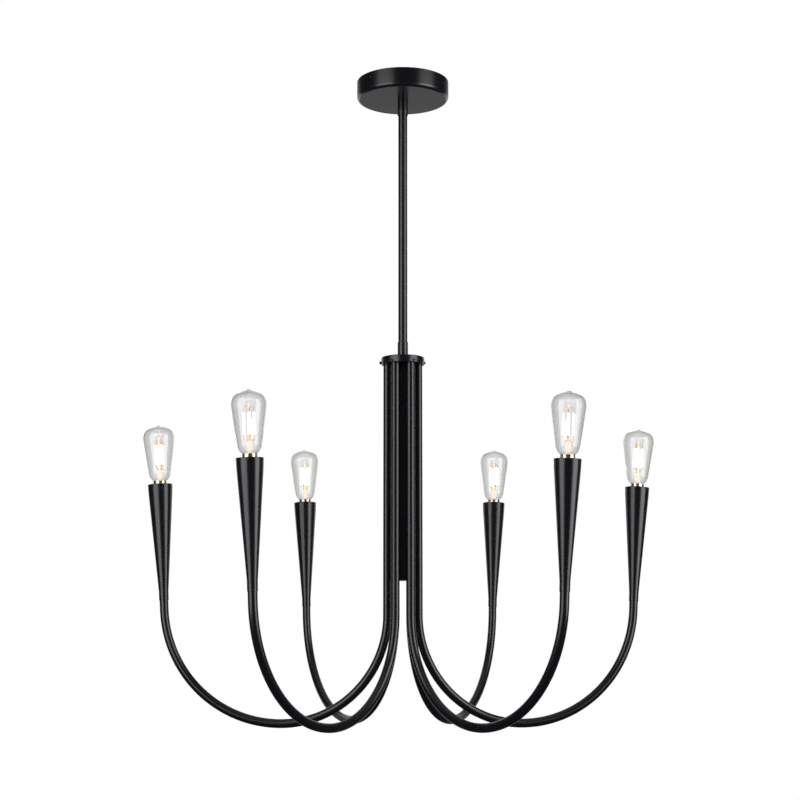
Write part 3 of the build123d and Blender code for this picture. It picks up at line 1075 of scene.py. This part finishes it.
def copper_lead_wire_painted_glow():
    """Copper-clad lead wire and welded tabs: soft orange metal, duller at the welds, with a
    faint painted glow.
    """
    material, tree, place = new_material("copper_clad_wire_painted_glow")
    weld = add_node(tree, "TexNoise", {"Vector": place, "Scale": per_mm(1.5), "Detail": 2.0})
    tint = add_node(
        tree,
        "MixRGB",
        {"Fac": weld.outputs["Fac"], "Color1": linear("#EBB583"), "Color2": linear("#FFE6C4")},
    )
    gloss = add_node(
        tree, "MapRange", {"Value": weld.outputs["Fac"], "To Min": 0.55, "To Max": 0.3}
    )
    surface = add_node(
        tree,
        "BsdfPrincipled",
        {
            "Base Color": tint.outputs["Color"],
            "Metallic": 0.5,
            "Roughness": gloss.outputs["Result"],
            # Painted light: a faint glow stands in for the light falling on the wires and tabs
            # inside the bulb.
            "Emission Color": linear("#FFD9AE"),
            "Emission Strength": 0.35,
        },
    )
    add_node(tree, "OutputMaterial", {"Surface": surface.outputs["BSDF"]})
    return material


def lit_phosphor():
    """Phosphor over a strip of chips 1.1 mm apart, at work: a dense warm white."""
    material, tree, place = new_material("lit_warm_phosphor")
    chips = add_node(tree, "TexNoise", {"Vector": place, "Scale": per_mm(1.1), "Detail": 0.0})
    glow = add_node(
        tree,
        "MixRGB",
        {"Fac": chips.outputs["Fac"], "Color1": linear("#FFE0AE"), "Color2": linear("#FFF2DA")},
    )
    surface = add_node(
        tree,
        "BsdfPrincipled",
        {
            "Base Color": glow.outputs["Color"],
            "Roughness": 0.5,
            "Emission Color": glow.outputs["Color"],
            "Emission Strength": 6.0,
        },
    )
    add_node(tree, "OutputMaterial", {"Surface": surface.outputs["BSDF"]})
    return material


def rod_between(bm, start, end, radius):
    """Add a round bar between two points, in mm."""
    way = end - start
    place = Matrix.Translation((start + end) / 2 * mm)
    bmesh.ops.create_cone(
        bm,
        cap_ends=True,
        segments=bar_sides,
        radius1=radius * mm,
        radius2=radius * mm,
        depth=way.length * mm,
        matrix=place @ way.to_track_quat("Z", "Y").to_matrix().to_4x4(),
    )


def around(turn, radius, height):
    """A point at a turn in degrees about the lamp's axis, in mm."""
    angle = math.radians(turn)
    return Vector((radius * math.cos(angle), radius * math.sin(angle), height))


def glass_mount():
    """The flared stem with its pinch, and the thin rod and bead above it."""
    return turned(
        [
            (0, glass_seat),
            (mount_flare_r, glass_seat),
            (mount_waist_r, glass_seat + mount_waist_h),
            (mount_r, glass_seat + mount_flare_h),
            (mount_r, mount_top - pinch_start_drop),
            (pinch_r, mount_top - pinch_full_drop),
            (pinch_r, mount_top - pinch_end_drop),
            (mount_shoulder_r, mount_top - mount_shoulder_drop),
            (mount_rod_r, mount_top),
            (mount_rod_r, bead_low),
            (bead_r, bead_low + bead_r),
            (bead_r, bead_top - bead_r),
            (bead_crown_r, bead_top - bead_crown_drop),
            (0, bead_top),
        ],
        steps=small_steps,
        closed=False,
    )


def wire_frame():
    """The bent wires from mount and bead to the filaments' ends, with their welded tabs."""
    bm = bmesh.new()
    for turn in filament_turns:
        for end_z, way in ((filament_low, 1), (filament_high, -1)):
            root = around(turn, mount_rod_r, end_z - way * lead_rise)
            elbow = around(turn, elbow_ring_r, end_z - way * elbow_rise)
            rod_between(bm, root, elbow, lead_wire_r)
            rod_between(bm, elbow, around(turn, filament_ring_r, end_z), lead_wire_r)
            bmesh.ops.create_icosphere(
                bm,
                subdivisions=2,
                radius=lead_wire_r * mm,
                matrix=Matrix.Translation(elbow * mm),
            )
            tab = Matrix.Translation((0, 0, (end_z + way * tab_len / 2) * mm))
            tab @= Matrix.Rotation(math.radians(turn), 4, "Z")
            tab @= Matrix.Translation((filament_ring_r * mm, 0, 0))
            tab @= Matrix.Diagonal((tab_t * mm, tab_w * mm, tab_len * mm, 1))
            bmesh.ops.create_cube(bm, size=1.0, matrix=tab)
    return bm


def filament_set():
    """The four filaments, each with rounded ends."""
    bm = bmesh.new()
    for turn in filament_turns:
        rod_between(
            bm,
            around(turn, filament_ring_r, filament_low + tab_len),
            around(turn, filament_ring_r, filament_high - tab_len),
            filament_r,
        )
    rolled(bm, is_sharp, filament_end_round)
    return bm


milky_glass_painted_glow = milky_mount_glass_painted_glow()
copper_wire_painted_glow = copper_lead_wire_painted_glow()
phosphor = lit_phosphor()
for number in arm_numbers:
    for make, part, material, slot in (
        (glass_mount, "glass_mount", milky_glass_painted_glow, "clear_glass"),
        (wire_frame, "wire_frame", copper_wire_painted_glow, "nickel_plated_brass"),
        (filament_set, "led_filaments", phosphor, "led_filament"),
    ):
        make_piece(
            make(),
            f"{part}_{number}",
            material,
            slot,
            f"bulb_{number}",
            f"bulb_filament_{number}",
            place=lamp_place(number),
        )


# ---- studio ----
# A white sweep all round. Tall soft boxes left and right of the viewer draw the long
# highlights on the tubes, and two dim ones behind trace their far sides.

box_width = 1.2
box_height = 1.6
box_centre_z = -0.26


def soft_box(name, turn, distance, power):
    """A tall soft box, so many degrees round from the viewer and metres from the rod."""
    light = bpy.data.lights.new(name, "AREA")
    light.shape = "RECTANGLE"
    light.size = box_width
    light.size_y = box_height
    light.energy = power
    holder = bpy.data.objects.new(name, light)
    angle = math.radians(turn)
    away = Vector((math.sin(angle), -math.cos(angle), 0))
    holder.location = away * distance + Vector((0, 0, box_centre_z))
    holder.rotation_euler = away.to_track_quat("Z", "Y").to_euler()
    holder.visible_camera = False
    holder.visible_transmission = False
    scene.collection.objects.link(holder)


soft_box("left_soft_box", turn=-45.0, distance=1.6, power=19.5)
soft_box("right_soft_box", turn=60.0, distance=1.76, power=26.0)
soft_box("rear_left_soft_box", turn=-150.0, distance=2.0, power=4.5)
soft_box("rear_right_soft_box", turn=150.0, distance=2.0, power=4.5)

# What is seen directly or through the glass is white. Gloss mirrors a dim room instead, with
# a bright backdrop behind the lamp and a pale panel overhead. All else gets a plain grey
# light from all round.
white = 1.0
fill_level = 0.6
room_level = 0.03
satin_backdrop_level = 0.4
mirror_backdrop_level = 0.85
panel_level = 0.4
# How far a sight has to point backwards, or up, to meet the soft edge of backdrop or panel,
# and how far to be inside it.
backdrop_start, backdrop_full = 0.64, 0.88
panel_start, panel_full = 0.7, 0.9
# More than this many glossy bounces is a mirrored sight.
mirror_bounces = 0.5

world = bpy.data.worlds.new("white_sweep")
world.use_nodes = True
scene.world = world
sky = world.node_tree
sky.nodes.clear()
ray = add_node(sky, "LightPath")
way = add_node(sky, "SeparateXYZ", {"Vector": add_node(sky, "TexCoord").outputs["Generated"]})
backdrop_level = add_node(
    sky,
    "MapRange",
    {
        "Value": ray.outputs["Is Singular Ray"],
        "To Min": satin_backdrop_level,
        "To Max": mirror_backdrop_level,
    },
)
behind = add_node(
    sky,
    "MapRange",
    {
        "Value": way.outputs["Y"],
        "From Min": backdrop_start,
        "From Max": backdrop_full,
        "To Min": room_level,
        "To Max": backdrop_level.outputs["Result"],
    },
    interpolation_type="SMOOTHSTEP",
)
above = add_node(
    sky,
    "MapRange",
    {
        "Value": way.outputs["Z"],
        "From Min": panel_start,
        "From Max": panel_full,
        "To Min": room_level,
        "To Max": panel_level,
    },
    interpolation_type="SMOOTHSTEP",
)
dim_room = add_node(
    sky,
    "Math",
    {0: behind.outputs["Result"], 1: above.outputs["Result"]},
    operation="MAXIMUM",
)
unmirrored = add_node(
    sky, "Math", {0: ray.outputs["Glossy Depth"], 1: mirror_bounces}, operation="LESS_THAN"
)
through = add_node(
    sky,
    "Math",
    {0: ray.outputs["Is Transmission Ray"], 1: unmirrored.outputs["Value"]},
    operation="MULTIPLY",
)
seen = add_node(
    sky,
    "Math",
    {0: ray.outputs["Is Camera Ray"], 1: through.outputs["Value"]},
    operation="MAXIMUM",
)
reflected = add_node(
    sky,
    "Math",
    {0: ray.outputs["Is Glossy Ray"], 1: ray.outputs["Is Transmission Ray"]},
    operation="MAXIMUM",
)
mirrored = add_node(
    sky,
    "Mix",
    {"Factor": reflected.outputs["Value"], "A": fill_level, "B": dim_room.outputs["Value"]},
)
level = add_node(
    sky,
    "Mix",
    {"Factor": seen.outputs["Value"], "A": mirrored.outputs["Result"], "B": white},
)
backdrop = add_node(
    sky, "Background", {"Color": linear("#FFFFFF"), "Strength": level.outputs["Result"]}
)
add_node(sky, "OutputWorld", {"Surface": backdrop.outputs["Background"]})


# ---- floor ----
# A disc of white paper far below the lamp. It fades into the white sweep towards its edge,
# and gloss mirrors it as dark as the rest of the room.

floor_z = -3.2
floor_r = 5.0
floor_sides = 96
fade_start_r = 3.4
fade_end_r = 5.2

floor_mesh = bpy.data.meshes.new("pale_floor")
floor_bm = bmesh.new()
bmesh.ops.create_circle(floor_bm, cap_ends=True, segments=floor_sides, radius=floor_r)
bmesh.ops.translate(floor_bm, verts=floor_bm.verts, vec=(0, 0, floor_z))
floor_bm.to_mesh(floor_mesh)
floor_bm.free()
floor = bpy.data.objects.new("pale_floor", floor_mesh)
scene.collection.objects.link(floor)

paper, tree, place = new_material("white_paper_floor")
spread = add_node(tree, "VectorMath", {0: place}, operation="LENGTH")
fade = add_node(
    tree,
    "MapRange",
    {"Value": spread.outputs["Value"], "From Min": fade_start_r, "From Max": fade_end_r},
    interpolation_type="SMOOTHSTEP",
)
matt = add_node(tree, "BsdfDiffuse", {"Color": linear("#F4F4F2")})
glow = add_node(tree, "Emission", {"Color": linear("#FFFFFF"), "Strength": white})
lit = add_node(
    tree,
    "MixShader",
    {"Fac": fade.outputs["Result"], 1: matt.outputs["BSDF"], 2: glow.outputs["Emission"]},
)
unlit = add_node(tree, "Emission", {"Color": linear("#FFFFFF"), "Strength": room_level})
mirrored_ray = add_node(
    tree,
    "Math",
    {0: add_node(tree, "LightPath").outputs["Glossy Depth"], 1: mirror_bounces},
    operation="GREATER_THAN",
)
mixed = add_node(
    tree,
    "MixShader",
    {
        "Fac": mirrored_ray.outputs["Value"],
        1: lit.outputs["Shader"],
        2: unlit.outputs["Emission"],
    },
)
add_node(tree, "OutputMaterial", {"Surface": mixed.outputs["Shader"]})
floor_mesh.materials.append(paper)
